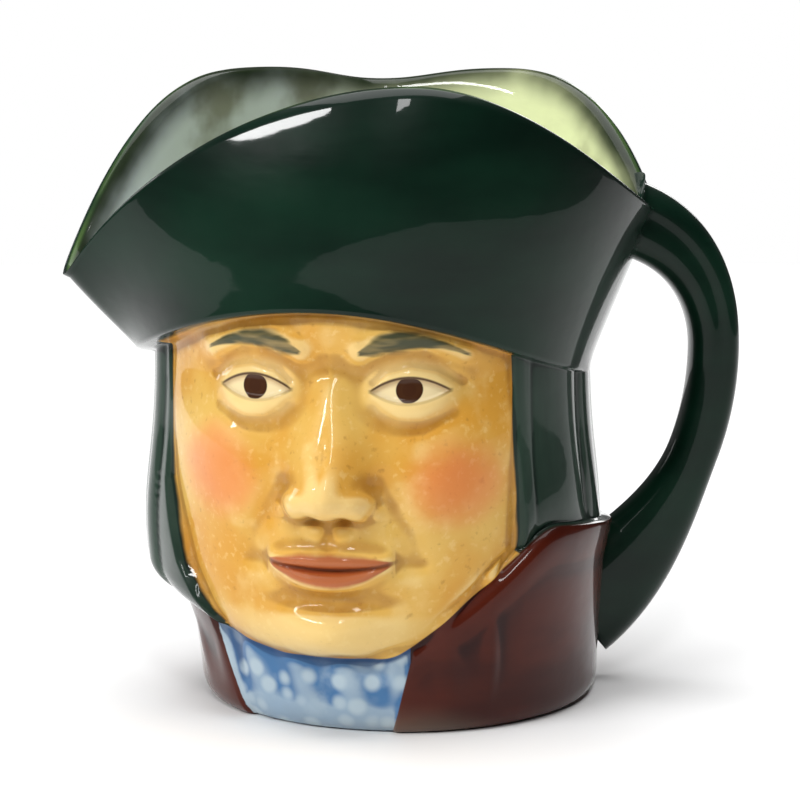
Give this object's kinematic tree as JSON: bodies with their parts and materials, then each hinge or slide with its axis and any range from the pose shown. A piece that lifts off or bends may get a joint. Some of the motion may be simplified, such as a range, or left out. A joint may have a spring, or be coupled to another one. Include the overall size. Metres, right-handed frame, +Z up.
{
  "type": "character jug",
  "caption": "Hollow glazed earthenware jug shaped as a head in a three-cornered hat, with a pouring corner and a loop handle.",
  "frame": {"origin": "centre of the overall box at the level of the foot ring", "axes": "+Z up; +X through the loop handle, with the pouring corner of the hat toward -X; the face and the front brim toward -Y, the face turned 18 degrees toward the pouring corner"},
  "size_m": [0.1756, 0.1334, 0.1599],
  "materials": {
    "glaze": "dark green gloss glaze, with the face, coat and cravat painted under it"
  },
  "bodies": {
    "root": {"jug": "glaze"}
  },
  "joints": []
}
